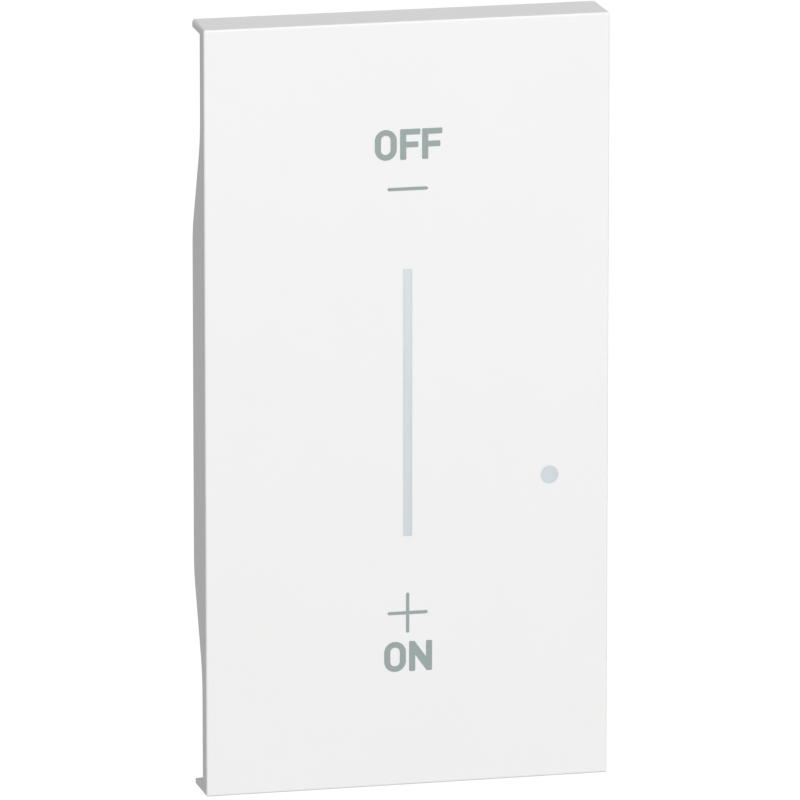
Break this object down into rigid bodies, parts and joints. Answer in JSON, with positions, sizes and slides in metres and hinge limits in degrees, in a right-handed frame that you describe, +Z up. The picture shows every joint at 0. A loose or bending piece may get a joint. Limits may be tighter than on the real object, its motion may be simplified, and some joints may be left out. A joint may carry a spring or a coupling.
{
  "type": "wall dimmer switch",
  "caption": "Flush wall dimmer: a rocking white cover with a level light bar, return springs, boards, metal strap and screw terminals.",
  "frame": {"origin": "middle of the strap's back face, between its two fixing holes", "axes": "+X to the right seen from the front, +Y into the wall, +Z up; the cover faces -Y"},
  "size_m": [0.045, 0.0304, 0.0854],
  "materials": {
    "cover_white": "satin, near-white",
    "light_guide": "translucent, satin",
    "ink": "printed, matt",
    "frame_plastic": "fine moulded grain",
    "pin_steel": "ground",
    "plunger_plastic": "moulded",
    "contact_rubber": "matt, conductive",
    "spring_steel": "drawn wire",
    "strap_steel": "zinc plated",
    "housing_grey": "moulded grain",
    "housing_dark": "moulded grain",
    "screw_steel": "zinc plated",
    "reflector_white": "matt",
    "clear_plastic": "clear",
    "board_green": "solder mask",
    "led_resin": "resin",
    "gold": "plated",
    "chip_black": "moulded",
    "ceramic_tan": "fired",
    "pad_grey": "soft",
    "aluminium": "pressed sheet",
    "ferrite": "coated",
    "copper": "enamelled wire",
    "film_box": "moulded box",
    "can_blue": "sleeved can",
    "ceramic_white": "glazed",
    "disc_blue": "dipped",
    "bar_brass": "stamped",
    "cage_steel": "plated"
  },
  "bodies": {
    "module": {"left_pivot_pin": "pin_steel", "right_pivot_pin": "pin_steel", "upper_spring": "spring_steel", "lower_spring": "spring_steel", "mounting_strap": "strap_steel", "front_housing": "housing_grey", "rear_housing": "housing_dark", "housing_screws": "screw_steel", "led_reflector": "reflector_white", "status_light_pipe": "clear_plastic", "control_board": "board_green", "level_leds": "led_resin", "status_led": "led_resin", "contact_pads": "gold", "microcontroller": "chip_black", "control_board_parts": "ceramic_tan", "board_connector": "chip_black", "power_board": "board_green", "power_transistors": "chip_black", "thermal_pad": "pad_grey", "heat_spreader": "aluminium", "choke_core": "ferrite", "choke_winding": "copper", "film_capacitor": "film_box", "electrolytic_capacitor": "can_blue", "fuse": "ceramic_white", "varistor": "disc_blue", "terminal_bars": "bar_brass"},
    "rocker": {"cover_shell": "cover_white", "light_bar": "light_guide", "indicator_lens": "light_guide", "off_legend": "ink", "minus_mark": "ink", "plus_mark": "ink", "on_legend": "ink", "rocker_frame": "frame_plastic"},
    "upper_button": {"upper_plunger": "plunger_plastic", "upper_contact_pill": "contact_rubber"},
    "lower_button": {"lower_plunger": "plunger_plastic", "lower_contact_pill": "contact_rubber"},
    "screw_live": {"terminal_screw_live": "screw_steel"},
    "cage_live": {"terminal_cage_live": "cage_steel"},
    "screw_neutral": {"terminal_screw_neutral": "screw_steel"},
    "cage_neutral": {"terminal_cage_neutral": "cage_steel"},
    "screw_load": {"terminal_screw_load": "screw_steel"},
    "cage_load": {"terminal_cage_load": "cage_steel"},
    "screw_remote": {"terminal_screw_remote": "screw_steel"},
    "cage_remote": {"terminal_cage_remote": "cage_steel"}
  },
  "joints": [
    {"name": "rocker_tilt", "type": "hinge", "parent": "module", "child": "rocker", "pos_m": [0, -0.0044, 0], "axis": [1, 0, 0], "range_deg": [-2, 2], "stiffness_Nm_per_rad": 2},
    {"name": "upper_plunger_slide", "type": "slide", "parent": "module", "child": "upper_button", "axis": [0, 1, 0], "range_m": [-0.00064, 0.00064], "deforming": ["upper_spring"]},
    {"name": "lower_plunger_slide", "type": "slide", "parent": "module", "child": "lower_button", "axis": [0, 1, 0], "range_m": [-0.00064, 0.00064], "deforming": ["lower_spring"]},
    {"name": "screw_turn_live", "type": "hinge", "parent": "module", "child": "screw_live", "pos_m": [-0.0105, 0.0155, -0.0198], "axis": [0, 0, 1], "range_deg": [0, 1801]},
    {"name": "cage_slide_live", "type": "slide", "parent": "module", "child": "cage_live", "axis": [0, 0, -1], "range_m": [0, 0.0025]},
    {"name": "screw_turn_neutral", "type": "hinge", "parent": "module", "child": "screw_neutral", "pos_m": [-0.0035, 0.0155, -0.0198], "axis": [0, 0, 1], "range_deg": [0, 1801]},
    {"name": "cage_slide_neutral", "type": "slide", "parent": "module", "child": "cage_neutral", "axis": [0, 0, -1], "range_m": [0, 0.0025]},
    {"name": "screw_turn_load", "type": "hinge", "parent": "module", "child": "screw_load", "pos_m": [0.0035, 0.0155, -0.0198], "axis": [0, 0, 1], "range_deg": [0, 1801]},
    {"name": "cage_slide_load", "type": "slide", "parent": "module", "child": "cage_load", "axis": [0, 0, -1], "range_m": [0, 0.0025]},
    {"name": "screw_turn_remote", "type": "hinge", "parent": "module", "child": "screw_remote", "pos_m": [0.0105, 0.0155, -0.0198], "axis": [0, 0, 1], "range_deg": [0, 1801]},
    {"name": "cage_slide_remote", "type": "slide", "parent": "module", "child": "cage_remote", "axis": [0, 0, -1], "range_m": [0, 0.0025]}
  ],
  "couplings": [
    {"joint": "upper_plunger_slide", "follows": "rocker_tilt", "m_per_rad": -0.018},
    {"joint": "lower_plunger_slide", "follows": "rocker_tilt", "m_per_rad": 0.018},
    {"joint": "screw_turn_live", "follows": "cage_slide_live", "rad_per_m": 12566},
    {"joint": "screw_turn_neutral", "follows": "cage_slide_neutral", "rad_per_m": 12566},
    {"joint": "screw_turn_load", "follows": "cage_slide_load", "rad_per_m": 12566},
    {"joint": "screw_turn_remote", "follows": "cage_slide_remote", "rad_per_m": 12566}
  ]
}
